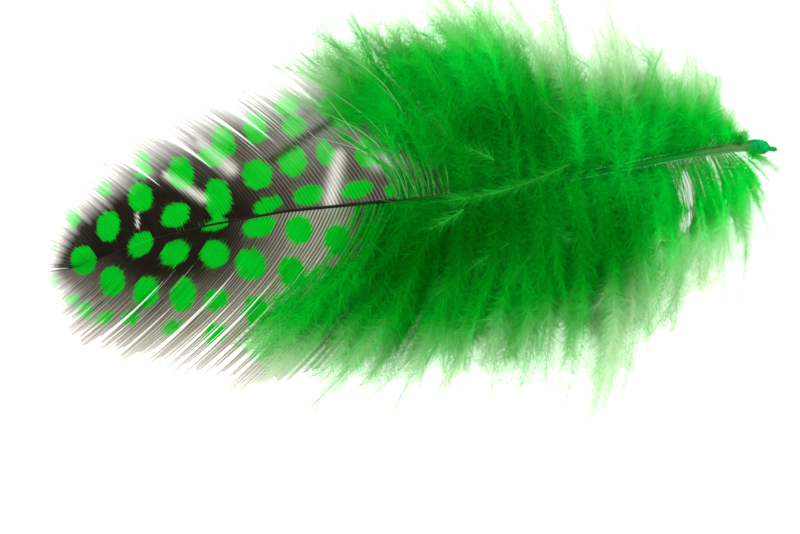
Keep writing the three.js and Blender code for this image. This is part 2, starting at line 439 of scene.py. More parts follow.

# Where the barbs are painted paler, as light shining through thin down, before and after the end of
# the core, and how pale
BARB_PALING = (0.1, 0.4)
BARB_PALENESS = 0.7

# Fine hairs along the loose barbs, and fewer long ones among them
DOWN_HAIR_LENGTH = 2.1
SHORT_HAIRS = {"spacing": 0.05, "width": 0.045, "stretch": 0.95, "contrast": 0.1, "bent": False}
LONG_HAIRS = {"spacing": 0.45, "width": 0.055, "stretch": 1.5, "contrast": 0.25, "bent": True}

# The fewest hairs of a row, the share of a barb that it takes up, how the hairs' length
# strays, and what is left of it at the end of the quill
FEWEST_HAIRS = 4
HAIRED = 0.96
HAIR_LENGTH_STRAY = (0.5, 1.15)
SHORTEST_NEAR_QUILL = 0.35

# Over what length from the root the hairs grow to their full length where the shaft is bare
HAIR_GROWTH = (0.2, 1.8)

# How a barb's two rows of hairs rise and lean, how each hair strays from its row, and its bend
ROW_RISE = 0.5
ROW_LEAN = (0.55, 1.35)
HAIR_RISE_STRAY = 0.7
HAIR_LEAN_STRAY = 0.5
HAIR_BEND = 0.25
HAIR_BEND_STRAY = 0.15
HAIR_TILT = 0.4

# A bent hair keeps this share of its width half way
HAIR_HALF_WIDTH = 0.8

# Hairs in the fringe, which starts this far before and is full this far after the core's end
FRINGE_BLEND = (0.12, 0.25)
FRINGE_LEFT_OUT = 0.3
FRINGE_TIDINESS = 0.6
FRINGE_STRETCH = 0.15
FRINGE_FINENESS = 0.6

# Loose strands that lie across the down: along, across, height, length, turn in degrees
STRANDS = [
    (52.0, 1.5, 8.0, 17.0, 186),
    (44.5, -1.8, 8.6, 5.5, 200),
    (46.5, -8.3, 9.0, 12.0, 206),
    (53.0, -8.5, 9.2, 6.0, 220),
    (57.0, -5.0, 8.8, 6.5, -38),
    (60.0, 9.0, 8.4, 7.5, 132),
    (64.0, 4.5, 7.4, 6.0, 120),
    (46.0, 9.0, 9.2, 6.0, 116),
    (66.0, -6.0, 6.4, 6.0, -72),
    (60.5, -9.5, 7.6, 6.0, -100),
    (49.5, 5.5, 9.0, 5.0, 150),
]
STRAND_STEPS = 16
STRAND_SIDES = 4
STRAND_RADIUS = 0.045
STRAND_TAPER = 0.6
STRAND_BOW = 0.06
STRAND_HUMP = 0.3
STRAND_TONE = 0.1
STRAND_PALENESS = 0.12

# The hairs of a loose strand, none on its last steps. Lean and tone are a mean and a spread
STRAND_HAIR_SPACING = 0.09
STRAND_HAIR_LENGTH = 2.0
STRAND_HAIR_LENGTH_STRAY = (0.5, 1.1)
STRAND_HAIR_WIDTH = 0.035
STRAND_HAIR_LEAN = (0.7, 0.35)
STRAND_HAIR_BEND = 0.4
STRAND_HAIR_DROOP = [0.0, 0.0, -0.2]
STRAND_HAIR_TONE = (-0.15, 0.25)
STRAND_HAIR_PALENESS = 0.02
STRAND_BARE_STEPS = 3

# Patches of painted shade and painted light on the down, a deeper or a brighter green: along,
# across, radius, strength
PAINTED_SHADE_AND_LIGHT_PATCHES = [
    (54.0, 8.0, 4.0, -0.8),
    (45.6, -4.0, 5.5, -0.8),
    (53.0, -3.0, 5.0, -0.6),
    (61.5, -6.9, 4.5, -0.5),
    (44.9, 12.9, 2.4, -0.3),
    (48.6, 7.3, 2.4, -0.5),
    (57.7, 4.8, 3.0, -0.3),
    (57.7, -10.3, 3.0, -0.3),
    (65.9, -4.4, 2.6, -0.4),
    (80.0, -4.5, 4.0, 0.6),
    (72.8, 6.0, 5.0, 0.3),
    (40.0, 11.8, 3.0, 0.3),
    (74.6, -8.5, 3.6, 0.5),
    (50.9, 16.8, 6.0, 0.5),
    (79.5, 3.5, 3.5, 0.5),
    (38.5, -5.5, 5.5, -0.7),
    (72.0, -9.0, 4.0, 0.5),
    (71.0, 1.5, 4.5, 0.2),
    (66.0, 1.5, 5.0, 0.45),
    (62.0, 11.0, 5.0, 0.4),
]

# What differs between the two sides, and where the first barb of each side's down springs
SIDES = {
    LEFT: SimpleNamespace(
        number=LEFT, name="left", outward=1, barbs=LEFT_BARBS,
        splits=LEFT_SPLITS, rim_fade=LEFT_RIM_FADE, light=LEFT_LIGHT, dye_start=40.0,
        core=LEFT_CORE, fringe=LEFT_FRINGE, first_root=39.4,
        vane_seed=11, down_seed=21,
    ),
    RIGHT: SimpleNamespace(
        number=RIGHT, name="right", outward=-1, barbs=RIGHT_BARBS,
        splits=RIGHT_SPLITS, rim_fade=RIGHT_RIM_FADE, light=RIGHT_LIGHT, dye_start=27.0,
        core=RIGHT_CORE, fringe=RIGHT_FRINGE, first_root=34.4,
        vane_seed=12, down_seed=31,
    ),
}
STRANDS_SEED = 41

# Colours of the vane. Those with a scale are mottled from the first colour to the second
BLACKISH = (900.0, (0.008, 0.006, 0.004, 1), (0.02, 0.016, 0.010, 1))
TAN = (600.0, (0.52, 0.47, 0.37, 1), (0.80, 0.74, 0.62, 1))
SPOT_GREEN = (500.0, (0.0, 0.40, 0.008, 1), (0.0, 0.52, 0.02, 1))
FADED_RIM = (0.70, 0.68, 0.65, 1)
FADED_SPOT = (0.40, 0.80, 0.40, 1)
VANE_DYE = (0.0, 0.11, 0.004, 1)
# Painted shadow along a fold's edge
FOLD_SHADOW_COLOUR = (0.02, 0.03, 0.006, 1)

# Colours of the down, from its darkest to its brightest tone, which holds painted shade and light as
# well as each barb's own tone, and the pale colour of its fringe, which is painted light where thin
# down is lit through, and of its pale roots, stout barbs and strands
DOWN_GREENS = [
    (0.0, (0.0, 0.19, 0.0, 1)),
    (0.5, (0.0, 0.46, 0.016, 1)),
    (1.0, (0.0, 0.84, 0.07, 1)),
]
PALE_DOWN_AND_PAINTED_LIGHT = (0.60, 0.76, 0.50, 1)

# Colours of the shaft, written as those of the vane, and how sharp the nub's patches are
SHAFT_BLACK = (400.0, (0.006, 0.006, 0.004, 1), (0.02, 0.02, 0.012, 1))
SHAFT_GREEN = (250.0, (0.0, 0.26, 0.02, 1), (0.01, 0.42, 0.05, 1))
NUB_GREEN = (1600.0, (0.0, 0.22, 0.04, 1), (0.0, 0.46, 0.10, 1))
NUB_PATCHES = (0.35, 0.65)
HORN = (0.15, 0.33, 0.11, 1)
RIB_GREEN = (0.16, 0.72, 0.2, 1)
SHAFT_SPOT = (0.0, 0.45, 0.012, 1)

# Finish: how much light goes through, and roughness
VANE_FINISH = (0.45, 0.8)
DOWN_FINISH = (0.5, 0.8)
SHAFT_FINISH = (0.3, 0.3)
KERATIN_SPECULAR = 0.04
NOISE_DETAIL = 3.0

# The surface, in metres, and the light: name, place in metres, size in metres, power in watts
WHITE = (1, 1, 1, 1)
FLOOR_SIZE = 3.0
FLOOR_COLOUR = (0.93, 0.93, 0.93, 1)
FLOOR_ROUGHNESS = 0.9
FLOOR_GLOW = 0.6
SKY_STRENGTH = 0.85
LAMPS = [
    ("key", (-0.25, 0.25, 0.45), 0.35, 3.2),
    ("fill", (0.35, -0.2, 0.4), 0.4, 1.8),
]

# The photo's frame is 96 mm wide, seen from straight above, turned against the shaft
VIEW_WIDTH = 96.0
VIEW_TURN = -9.53
VIEW_CENTRE = (-2.52, -4.94)
VIEW_HEIGHT = 3.0
LENS = 180.0
SENSOR = 36.0
NEAREST_SEEN = 10.0


def uneven(index, salt):
    """A number from -1 to 1 that looks random and is the same as in the solids."""
    turn = index * GOLDEN_TURN + salt * ROOT_TWO_TURN
    return (turn - math.floor(turn)) * 2 - 1


def row_at(rows, place):
    """The row of a table at a place between its rows."""
    return [np.interp(place, rows[:, 0], rows[:, column]) for column in range(1, rows.shape[1])]


def shaft_point(along):
    across, height, _ = row_at(SHAFT, along)
    return np.array([TIP_X + along, TIP_Y + across, height])


def unit(vectors):
    return vectors / np.maximum(np.linalg.norm(vectors, axis=-1, keepdims=True), TINY)


def smooth_step(value, low, high):
    share = np.clip((value - low) / (high - low), 0, 1)
    return share * share * (3 - 2 * share)


def barb_line(barbs, along, reach, middle_height, end_height, stray=0.0):
    """Root, pull and end of a barb's curve, as the solids have it."""
    root = shaft_point(along)
    end_along, end_across = row_at(barbs, along)
    end = np.array([TIP_X + end_along + stray, TIP_Y + end_across, end_height])
    end = root + (end - root) * reach
    end[2] = end_height
    middle = (root + end) / 2
    middle[0] += np.linalg.norm(end - root) * BOW - stray * STRAY_DRAW
    middle[2] = middle_height
    return root, middle * 2 - (root + end) / 2, end


def on_curve(curve, share):
    """Points and directions of a barb's curve at shares of its length."""
    root, pull, end = curve
    share = np.asarray(share)[:, None]
    points = root * (1 - share) ** 2 + pull * 2 * share * (1 - share) + end * share ** 2
    direction = (pull - root) * (1 - share) + (end - pull) * share
    return points, unit(direction)


class Bits:
    """Gathers triangles with fields, and makes one mesh of them."""

    def __init__(self, fields):
        self.points = []
        self.triangles = []
        self.fields = {name: [] for name in fields}
        self.count = 0

    def add(self, points, triangles, **fields):
        self.points.append(points)
        self.triangles.append(triangles + self.count)
        self.count += len(points)
        for name, values in self.fields.items():
            values.append(np.broadcast_to(fields[name], len(points)))

    def make(self, name, material):
        """A piece that rides the feather's body and stands for its solid."""
        points = np.concatenate(self.points)
        triangles = np.concatenate(self.triangles).astype(np.int32)
        points[:, 2] = np.maximum(points[:, 2], FLOOR_GAP)
        mesh = bpy.data.meshes.new(name)
        mesh.vertices.add(len(points))
        mesh.vertices.foreach_set("co", (points * MM).ravel())
        mesh.loops.add(triangles.size)
        mesh.loops.foreach_set("vertex_index", triangles.ravel())
        mesh.polygons.add(len(triangles))
        mesh.polygons.foreach_set("loop_start", np.arange(0, triangles.size, 3, dtype=np.int32))
        for field, values in self.fields.items():
            layer = mesh.attributes.new(field, "FLOAT", "POINT")
            layer.data.foreach_set("value", np.concatenate(values).astype(np.float32))
        mesh.update(calc_edges=True)
        mesh.validate()
        mesh.materials.append(material)
        piece = bpy.data.objects.new(name, mesh)
        bpy.context.collection.objects.link(piece)
        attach(piece, "root")
        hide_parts("feather")
        print(name, len(triangles), "triangles")
        return piece


def for_each(fields, times):
    """Fields with every value repeated, and single numbers left as they are."""
    return {
        name: np.repeat(values, times) if np.ndim(values) else values
        for name, values in fields.items()
    }


def tube(bits, points, directions, radii, sides, **fields):
    """A tapered tube along points, open at its ends, which are too thin to see into."""
    level = unit(np.cross(UP, directions))
    upright = np.cross(directions, level)
    turns = np.arange(sides) / sides * math.tau
    ring = (
        level[:, None, :] * np.cos(turns)[None, :, None]
        + upright[:, None, :] * np.sin(turns)[None, :, None]
    )
    skin = points[:, None, :] + ring * radii[:, None, None]
    index = np.arange(len(points) * sides).reshape(len(points), sides)
    a = index[:-1]
    b = np.roll(a, -1, axis=1)
    c = index[1:]
    d = np.roll(c, -1, axis=1)
    triangles = np.concatenate([np.stack([a, b, d], -1), np.stack([a, d, c], -1)]).reshape(-1, 3)
    bits.add(skin.reshape(-1, 3), triangles, **for_each(fields, sides))


def hairs(bits, rng, base, turned, bend, length, width, tilt, bent=True, **fields):
    """Fine tapered hairs, each a bent strip or a straight sliver that ends in a point."""
    flat = unit(np.array(UP) + rng.normal(0, tilt, base.shape))
    side = unit(np.cross(turned, flat)) * width[:, None] / 2
    reach = length[:, None]
    tip = base + (turned + bend) * reach
    if bent:
        middle = base + turned * reach / 2 + bend * reach / 4
        half_way = side * HAIR_HALF_WIDTH
        corners = [base - side, base + side, middle - half_way, middle + half_way, tip]
        pattern = np.array([[0, 1, 3], [0, 3, 2], [2, 3, 4]])
    else:
        corners = [base - side, base + side, tip]
        pattern = np.array([[0, 1, 2]])
    start = np.arange(len(base))[:, None, None] * len(corners)
    skin = np.stack(corners, 1).reshape(-1, 3)
    bits.add(skin, (start + pattern).reshape(-1, 3), **for_each(fields, len(corners)))


def within_oval(points, oval):
    """How far along and across a turned oval points lie, in its half lengths and half widths."""
    middle_along, middle_across, half_length, half_width, turn = oval
    angle = math.radians(turn)
    run = points[:, 0] - TIP_X - middle_along
    rise = points[:, 1] - TIP_Y - middle_across
    x = (run * math.cos(angle) + rise * math.sin(angle)) / half_length
    y = (rise * math.cos(angle) - run * math.sin(angle)) / half_width
    return x, y


def spot_field(points, slack):
    """How far into a spot each point is, from 0 outside to 1 inside."""
    depth = np.full(len(points), -np.inf)
    for spot in SPOTS:
        _, _, half_length, half_width, _ = spot
        x, y = within_oval(points, spot)
        depth = np.maximum(depth, (1 - np.hypot(x, y)) * min(half_length, half_width))
    return smooth_step(depth + slack, -SPOT_EDGE, SPOT_EDGE)


def gap_depth(points):
    """How deep in an opening of the down each point lies, from 0 at its edge to 1."""
    depth = np.zeros(len(points))
    for gap in GAPS:
        x, y = within_oval(points, gap)
        depth = np.maximum(depth, 1 - y ** 2 - np.abs(x))
    return depth


def streak_field(points, streaks):
    """How near each point is to the middle line of a streak, from 0 to 1."""
    flat = points[:, :2] - (TIP_X, TIP_Y)
    near = np.zeros(len(points))
    for start, end, half_width in streaks:
        start = np.array(start)
        run = np.array(end) - start
        share = np.clip((flat - start) @ run / (run @ run), 0, 1)
        away = np.linalg.norm(flat - start - share[:, None] * run, axis=1) / half_width
        near = np.maximum(near, np.exp(-away ** 2))
    return near


def painted_shade_and_light(points):
    """How much painted shade darkens or painted light brightens the down at each point."""
    tone = np.zeros(len(points))
    for along, across, radius, strength in PAINTED_SHADE_AND_LIGHT_PATCHES:
        away = np.hypot(points[:, 0] - TIP_X - along, points[:, 1] - TIP_Y - across) / radius
        tone += strength * np.exp(-away ** 2)
    return tone


def lean_from_splits(splits, along, share):
    """How far a barb of the vane leans away from the splits beside it, at shares of its length."""
    lean = np.zeros(len(share))
    for place, gap, start in splits:
        away = along - place
        opening = np.clip((share - start) / (1 - start), 0, 1)
        lean += math.copysign(gap, away) * math.exp(-abs(away) / SPLIT_REACH) * opening
    return lean


def vane_fields(side, points, share, fade, slack):
    """The markings of a barb of the vane and of the web beside it, and the painted shadow along a
    fold's edge.
    """
    along = points[:, 0] - TIP_X
    across = points[:, 1] - TIP_Y
    from_middle = np.hypot(
        (along - DARK_MIDDLE[0]) / DARK_HALF[0], (across - DARK_MIDDLE[1]) / DARK_HALF[1]
    )
    haze = smooth_step(along, *HAZE_ALONG) * smooth_step(across, *HAZE_ACROSS)
    most_light, light_start, light_full = side.light
    light = smooth_step(from_middle, light_start, light_full) * most_light
    pale_streaks = streak_field(points, PALE_STREAKS)
    rim = smooth_step(share, fade, fade + RIM_PALING)
    return {
        "spot": spot_field(points, slack),
        "light": np.maximum(light, pale_streaks),
        "pale": np.maximum(np.maximum(rim, haze * HAZE_PALENESS), pale_streaks * STREAK_PALENESS),
        # Painted shadow along a fold's edge
        "fold": streak_field(points, FOLD_SHADOW_STREAKS),
        "dye": smooth_step(along, side.dye_start, side.dye_start + DYE_BLEND),
    }


def vane_barb(side, along, share, rng):
    """Points along one barb of the vane."""
    shortening_start, shortening_end, shortest = VANE_SHORTENING
    whole = 1 - shortest * smooth_step(along, shortening_start, shortening_end)
    curve = barb_line(
        side.barbs,
        along,
        whole * (VANE_REACH - VANE_REACH_STRAY * rng.random()),
        shaft_point(along)[2] / 2 + VANE_ARCH + rng.normal(0, VANE_ARCH_STRAY),
        VANE_RIM_HEIGHT + VANE_RIM_STRAY * rng.random(),
        rng.normal(0, VANE_BARB_STRAY),
    )
    points, _ = on_curve(curve, share)
    points[:, 0] += lean_from_splits(side.splits, along, share)
    return points


def web(bits, points, toward, narrowing, rise, fields):
    """The closed sheet on one side of a barb, which narrows where the vane's rim begins."""
    apart = np.linalg.norm(toward, axis=1, keepdims=True)
    width = np.minimum(apart * WEB_SPAN, WEB_REACH) * narrowing[:, None]
    edge = points + toward / np.maximum(apart, TINY) * width
    edge[:, 2] += rise
    corner = np.arange(len(points) - 1)[:, None] * 2
    triangles = np.concatenate([corner + [0, 1, 3], corner + [0, 3, 2]])
    sheet = np.stack([points, edge], 1).reshape(-1, 3)
    bits.add(sheet, triangles, web=np.tile(WEB_SHADES, len(points)), **for_each(fields, 2))


def hooks(bits, rng, points, directions, toward, rim, fields):
    """The barbules on one side of a barb, which hook into those of the next."""
    count = int(np.linalg.norm(points[-1] - points[0]) / HOOK_SPACING)
    at = rng.integers(HOOK_FIRST_STEP, WEB_STEPS - 1, count)
    turned = unit(directions[at] * HOOK_LEAN + unit(toward[at]))
    length = HOOK_LENGTH * (1 - HOOK_RIM_SHORTENING * rim[at])
    length = length * rng.uniform(*HOOK_LENGTH_STRAY, count)
    hairs(
        bits, rng, points[at], turned, directions[at] * HOOK_BEND, length,
        np.full(count, HOOK_WIDTH), HOOK_TILT, bent=False, web=HOOK_SHADE,
        **{field: values[at] for field, values in fields.items()},
    )


def vane(side, material):
    """One side of the vane: barbs with a closed web of hooked barbules between them."""
    rng = np.random.default_rng(side.vane_seed)
    bits = Bits(["spot", "light", "pale", "fold", "dye", "web"])
    share = np.linspace(0, 1, WEB_STEPS)
    coarse = slice(None, None, VANE_BARB_STRIDE)
    roots = VANE_END * ((np.arange(VANE_BARBS) + 0.5) / VANE_BARBS) ** VANE_CROWDING
    lines = [vane_barb(side, along, share, rng) for along in roots]
    for index, points in enumerate(lines):
        directions = unit(np.gradient(points, axis=0))
        fade = row_at(side.rim_fade, roots[index])[0]
        fields = vane_fields(side, points, share, fade, rng.normal(0, SPOT_STRAY))
        opening_start, opening_end = RIM_OPENING
        rim = smooth_step(share, fade + opening_start, fade + opening_end)
        tube(
            bits, points[coarse], directions[coarse],
            VANE_BARB_RADIUS * (1 - BARB_TAPER * share[coarse]), BARB_SIDES, web=0.0,
            **{field: values[coarse] for field, values in fields.items()},
        )
        for other in (index - 1, index + 1):
            if not 0 <= other < VANE_BARBS:
                continue
            toward = lines[other] - points
            rise = WEB_RISE if other > index else -WEB_RISE
            web(bits, points, toward, 1 - rim, rise, fields)
            hooks(bits, rng, points, directions, toward, rim, fields)
    piece = bits.make(side.name + "_vane", material)


def down_locks(side, level):
    """Where the locks of one layer of one side lie and how high, as the solids have them."""
    layer = DOWN_LAYERS[level]
    salt = level * LAYER_SALT + side.number * SIDE_SALT
    for index in range(layer["locks"]):
        share = (index + LOCK_SPACING_STRAY * uneven(index, salt)) / (layer["locks"] - 1)
        along = DOWN_START + (DOWN_END - DOWN_START) * min(max(share, 0), 1)
        near = min(1, (SHRINK_END - along) / SHRINK_LENGTH)
        root_height = shaft_point(along)[2]
        middle_height = layer["middle"] + LOCK_MIDDLE_STRAY * uneven(index, salt + MIDDLE_SALT)
        end_height = layer["end"] * near + LOCK_END_STRAY * uneven(index, salt + END_SALT)
        yield SimpleNamespace(
            along=along,
            near=near,
            middle=root_height + (middle_height - root_height) * near,
            end=max(end_height, LOCK_LOWEST_END),
            stray=LOCK_STRAY * near * uneven(index, salt + STRAY_SALT),
        )


def root_share(rows, side, along, rng):
    """The share of a barb, from its root, that has only short hairs or hardly any."""
    for number, start, end, share in rows:
        if side.number == number and start <= along <= end:
            return share * rng.uniform(*ROOT_SHARE_STRAY)
    return 0.0


def loose_curve(side, level, lock, root, rng):
    """The curve of one barb of a lock, and its share of the whole barb's length."""
    core = row_at(side.core, root)[0]
    furthest = row_at(side.fringe, root)[0]
    reach = core + (furthest - core) * rng.random() ** FRINGE_THINNING
    reach = DOWN_LAYERS[level]["reach"] * reach
    over = 0.0
    crossing = level == OUTER and CROSSING_START < root < CROSSING_END
    if crossing and rng.random() < CROSSING_SHARE:
        over = CROSSING_REACH * rng.random()
    curve = barb_line(
        side.barbs,
        root,
        reach,
        lock.middle + rng.normal(0, BARB_MIDDLE_STRAY) * lock.near,
        max(lock.end + rng.normal(0, BARB_END_STRAY) * lock.near, BARB_LOWEST_END),
        lock.stray + rng.normal(0, BARB_STRAY) * lock.near,
    )
    curve[0][1] -= side.outward * over
    curve[0][2] += min(over, 1) * CROSSING_RISE - (UNDER_DROP if level == UNDER else 0)
    return curve, reach


def loose_barb(side, level, near, root, curve, reach, rng):
    """What the hairs of a loose barb need to know of it."""
    stout = side.number == LEFT and level == OUTER and STOUT_START < root < STOUT_END
    short = root_share(SHORT_ROOTS, side, root, rng)
    bare = root_share(BARE_ROOTS, side, root, rng)
    uncovered = 0.0 if level == UNDER else smooth_step(root, COVERED_TO, COVERED_TO + COVER_BLEND)
    return SimpleNamespace(
        curve=curve,
        length=np.linalg.norm(curve[2] - curve[0]) * BOWED_LENGTH,
        reach=reach,
        core=row_at(side.core, root)[0],
        near=near,
        short=short,
        bare=bare * (UNDER_BARENESS if level == UNDER else 1.0),
        pale_root=PALE_ROOT_SHARE * (short if side.number == LEFT else bare),
        covering=1 - uncovered,
        stout=stout and rng.random() < STOUT_SHARE,
        tone=rng.normal(0, BARB_CONTRAST),
        # How much of the fringe's painted light this barb takes
        pale_mix=FRINGE_PAINTED_LIGHT * rng.choice(BARB_PAINTED_LIGHT_SHARES),
    )


def down(side, level, material):
    """One layer of one side's down: loose barbs, in the locks of the solids."""
    rng = np.random.default_rng(side.down_seed + level)
    bits = Bits(["tone", "pale"])
    for lock in down_locks(side, level):
        for number in range(BARBS_PER_LOCK):
            apart = (number + rng.random()) / BARBS_PER_LOCK * 2 - 1
            root = min(lock.along + apart * LOCK_SPREAD, DOWN_END)
            if root < side.first_root:
                continue
            curve, reach = loose_curve(side, level, lock, root, rng)
            if side.number == RIGHT and root > LAST_DENSE and rng.random() < LEFT_OUT_PAST_IT:
                continue
            barb = loose_barb(side, level, lock.near, root, curve, reach, rng)
            down_barb(bits, rng, barb)
    piece = bits.make(side.name + "_down_" + DOWN_LAYERS[level]["name"], material)


def down_barb(bits, rng, barb):
    """A loose barb, waving and curling a little, with soft barbules standing off all round it."""
    waves = rng.uniform(0, math.tau, 2)
    sway = rng.normal(0, SWAY, 2) * min(barb.length / SWAY_FULL_LENGTH, 1)
    curl = rng.normal(0, CURL) * barb.near

    def waved(share):
        points, directions = on_curve(barb.curve, share)
        beside = unit(np.cross(UP, directions))
        swing = np.sin(share * barb.length / SIDE_WAVE + waves[0]) * share * sway[0]
        bob = np.sin(share * barb.length / UPRIGHT_WAVE + waves[1]) * share * sway[1]
        points = points + beside * (swing + curl * share ** 3)[:, None]
        points[:, 2] += bob
        return points, directions

    share = np.linspace(0, 1, DOWN_BARB_POINTS)
    points, directions = waved(share)
    radius = DOWN_BARB_RADIUS * (STOUT_THICKNESS if barb.stout else 1.0)
    paling_start, paling_end = BARB_PALING
    # Painted light: the barb pales past the core, as light shining through thin down
    pale = smooth_step(share * barb.reach, barb.core - paling_start, barb.core + paling_end)
    pale = pale * BARB_PALENESS * barb.pale_mix
    pale = np.where(share < barb.pale_root, PALE_ROOT, pale)
    if barb.stout:
        pale = np.maximum(pale, smooth_step(share, *STOUT_PALING) * STOUT_PALENESS)
    tube(
        bits, points, directions, radius * (1 - BARB_TAPER * share), BARB_SIDES,
        # The tone holds the painted shade and light of the patches, the barb's own random tone and
        # its darker stem
        tone=painted_shade_and_light(points) + barb.tone - BARB_DARKNESS, pale=pale,
    )
    for hand in (1, -1):
        raised = rng.normal(0, ROW_RISE)
        lean = rng.uniform(*ROW_LEAN)
        hair_row(bits, rng, barb, waved, hand, raised, lean, SHORT_HAIRS)
        hair_row(bits, rng, barb, waved, hand, raised, lean, LONG_HAIRS)


def hair_places(barb, rng, kind):
    """Where along a loose barb its hairs spring, and how far each is in the fringe."""
    count = max(int(barb.length / kind["spacing"]), FEWEST_HAIRS)
    place = (STOUT_HAIRED if barb.stout else HAIRED) * (np.arange(count) + rng.random(count)) / count
    before, after = FRINGE_BLEND
    fringe = smooth_step(place * barb.reach, barb.core - before, barb.core + after)
    kept = rng.random(count) > FRINGE_LEFT_OUT * fringe
    return place[kept], fringe[kept]


def hair_lengths(barb, place, fringe, rng, kind):
    """How long the hairs are, shorter towards the quill, on bare roots and beside the bare shaft."""
    length = SHORTEST_NEAR_QUILL + (1 - SHORTEST_NEAR_QUILL) * barb.near
    length = DOWN_HAIR_LENGTH * length * kind["stretch"]
    length = length * (1 + FRINGE_STRETCH * fringe) * rng.uniform(*HAIR_LENGTH_STRAY, len(place))
    grown = np.maximum(smooth_step(place * barb.length, *HAIR_GROWTH), barb.covering)
    length = length * np.where(place < barb.short, SHORT_ROOT_HAIRS, 1.0) * grown
    return length * np.where(place < barb.bare, BARE_ROOT_HAIRS, 1.0)


def hair_row(bits, rng, barb, waved, hand, raised, lean, kind):
    """The barbules on one side of a loose barb, sparser and finer in the fringe, and painted paler
    there as light shining through thin down.
    """
    place, fringe = hair_places(barb, rng, kind)
    count = len(place)
    base, heading = waved(place)
    level = unit(np.cross(UP, heading)) * hand
    upright = np.cross(heading, level) * hand
    unruly = 1 - FRINGE_TIDINESS * fringe
    turn = raised + rng.normal(0, HAIR_RISE_STRAY, count) * unruly
    beside = level * np.cos(turn)[:, None] + upright * np.sin(turn)[:, None]
    angle = lean + rng.normal(0, HAIR_LEAN_STRAY, count) * unruly
    turned = unit(heading * np.cos(angle)[:, None] + beside * np.sin(angle)[:, None])
    length = hair_lengths(barb, place, fringe, rng, kind)
    bend = heading * HAIR_BEND + rng.normal(0, HAIR_BEND_STRAY, (count, 3))
    # The tone holds the painted shade and light of the patches and each hair's own random tone
    tone = painted_shade_and_light(base) + barb.tone + rng.normal(0, kind["contrast"], count)
    width = kind["width"] * (1 - FRINGE_FINENESS * fringe)
    tip = base + (turned + bend) * length[:, None]
    middle_depth = gap_depth((base + tip) / 2)
    depth = np.maximum(np.maximum(gap_depth(base), gap_depth(tip)), middle_depth)
    kept = rng.random(count) > depth * GAP_THINNING
    # Painted light: hairs in the fringe are paler, as light shining through thin down
    pale = np.maximum(fringe * barb.pale_mix, smooth_step(middle_depth, *GAP_PALING))
    hairs(
        bits, rng, base[kept], turned[kept], bend[kept], length[kept], width[kept], HAIR_TILT,
        bent=kind["bent"], tone=tone[kept], pale=pale[kept],
    )


def strand_line(along, across, height, length, turn, share, rng):
    """Points of a loose strand, bowed a little to one side and up."""
    angle = math.radians(turn)
    middle = np.array([TIP_X + along, TIP_Y + across, height])
    ahead = np.array([math.cos(angle), math.sin(angle), 0.0])
    beside = np.array([-math.sin(angle), math.cos(angle), 0.0])
    bow = rng.uniform(-STRAND_BOW, STRAND_BOW) * length
    points = (
        middle
        + ahead * (share - 0.5)[:, None] * length
        + beside * (np.sin(share * math.pi) * bow)[:, None]
    )
    points[:, 2] += STRAND_HUMP * np.sin(share * math.pi)
    return points


def strands(material):
    """A few long pale barbs that have come loose and lie across the down."""
    rng = np.random.default_rng(STRANDS_SEED)
    bits = Bits(["tone", "pale"])
    share = np.linspace(0, 1, STRAND_STEPS)
    for along, across, height, length, turn in STRANDS:
        points = strand_line(along, across, height, length, turn, share, rng)
        directions = unit(np.gradient(points, axis=0))
        radii = STRAND_RADIUS * (1 - STRAND_TAPER * share)
        tube(
            bits, points, directions, radii, STRAND_SIDES,
            tone=STRAND_TONE, pale=STRAND_PALENESS,
        )
        for hand in (1, -1):
            strand_hairs(bits, rng, points, directions, hand, int(length / STRAND_HAIR_SPACING))
    piece = bits.make("loose_strands", material)


def strand_hairs(bits, rng, points, directions, hand, count):
    """The fine barbules on one side of a loose strand."""
    at = np.sort(rng.integers(0, STRAND_STEPS - STRAND_BARE_STEPS, count))
    slide = rng.random((count, 1))
    base = points[at] * (1 - slide) + points[at + 1] * slide
    angle = rng.normal(*STRAND_HAIR_LEAN, (count, 1))
    level = unit(np.cross(UP, directions[at])) * hand
    turned = directions[at] * np.cos(angle) + level * np.sin(angle)
    hairs(
        bits, rng, base, turned, directions[at] * STRAND_HAIR_BEND + STRAND_HAIR_DROOP,
        STRAND_HAIR_LENGTH * rng.uniform(*STRAND_HAIR_LENGTH_STRAY, count),
        np.full(count, STRAND_HAIR_WIDTH), HAIR_TILT,
        tone=rng.normal(*STRAND_HAIR_TONE, count), pale=STRAND_HAIR_PALENESS,
    )


def shaft(material):
    """The shaft and quill, round and tapered, black in the vane and green below."""
    bits = Bits(["black", "horn", "nub", "rib", "spot"])
    along = np.linspace(0, SHAFT[-1, 0], SHAFT_STEPS)
    across, height, radius = row_at(SHAFT, along)
    points = np.stack([TIP_X + along, TIP_Y + across, height], 1)
    for _ in range(SHAFT_SMOOTHINGS):
        points[1:-1] = points[1:-1] / 2 + (points[:-2] + points[2:]) / 4
    directions = unit(np.gradient(points, axis=0))
    tube(
        bits, points, directions, np.maximum(radius, SHAFT_THINNEST), SHAFT_SIDES,
        black=1 - smooth_step(along, *BLACK_TO_GREEN),
        horn=smooth_step(along, *GREEN_TO_HORN),
        nub=smooth_step(along, *HORN_TO_NUB),
        rib=0.0,
        spot=spot_field(points, 0.0) * (1 - smooth_step(along, *SHAFT_SPOTS_END)),
    )
    piece = bits.make("shaft", material)
    for polygon in piece.data.polygons:
        polygon.use_smooth = True


